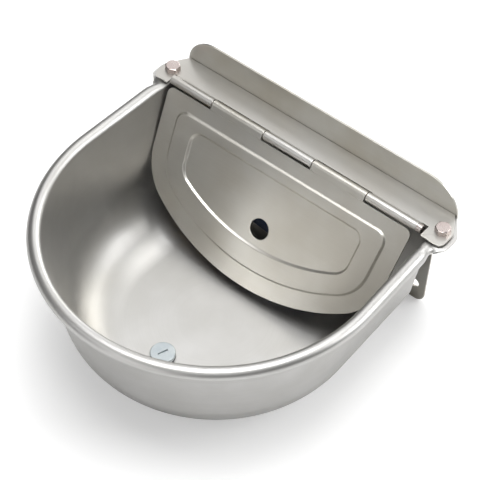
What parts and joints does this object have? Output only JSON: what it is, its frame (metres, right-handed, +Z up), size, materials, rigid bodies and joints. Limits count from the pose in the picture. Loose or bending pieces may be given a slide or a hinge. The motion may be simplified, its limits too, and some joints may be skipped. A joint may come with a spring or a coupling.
{
  "type": "livestock drinking bowl",
  "caption": "Wall-mounted steel drinking bowl for livestock, with a rolled rim, a hinged cover over a float valve, and a drain plug.",
  "frame": {"origin": "centre of the four wall holes, on the rear face of the wall plate", "axes": "+Y into the wall, +Z up, +X to the right of someone facing the bowl"},
  "size_m": [0.2648, 0.243, 0.133],
  "materials": {
    "steel": "satin",
    "plate_steel": "satin",
    "bolt_steel": "bright",
    "drain_steel": "satin",
    "brass": "machined",
    "rubber": "matt",
    "white_plastic": "moulded",
    "float_plastic": "moulded"
  },
  "bodies": {
    "bowl": {"bowl_shell": "steel", "back_plate": "plate_steel", "cover_plate": "steel", "cover_bolts": "bolt_steel", "cover_washers": "bolt_steel", "cover_nuts": "bolt_steel", "hinge_pin": "bolt_steel", "valve_body": "brass", "valve_seat": "white_plastic", "inlet_gasket": "rubber", "inlet_washer": "rubber", "inlet_nut": "brass", "arm_pivot_pin": "bolt_steel", "drain_gasket": "rubber", "drain_nut": "bolt_steel"},
    "cover": {"float_cover": "steel"},
    "arm": {"float_arm": "brass", "float": "float_plastic", "float_nuts": "brass"},
    "plunger": {"valve_plunger": "brass", "plunger_seal": "rubber"},
    "drain": {"drain_plug": "drain_steel"}
  },
  "joints": [
    {"name": "cover_hinge", "type": "hinge", "parent": "bowl", "child": "cover", "pos_m": [-0.004, -0.0269, 0.063], "axis": [-1, 0, 0], "range_deg": [0, 186]},
    {"name": "float_arm_pivot", "type": "hinge", "parent": "bowl", "child": "arm", "pos_m": [-0.07173, -0.0369, 0.01], "axis": [0, -1, 0], "range_deg": [0, 15]},
    {"name": "plunger_slide", "type": "slide", "parent": "bowl", "child": "plunger", "axis": [-1, 0, 0], "range_m": [0, 0.0021]},
    {"name": "drain_plug_lift", "type": "slide", "parent": "bowl", "child": "drain", "axis": [0, 0, 1], "range_m": [0, 0.03]}
  ],
  "couplings": [
    {"joint": "plunger_slide", "follows": "float_arm_pivot", "m_per_rad": 0.008}
  ]
}
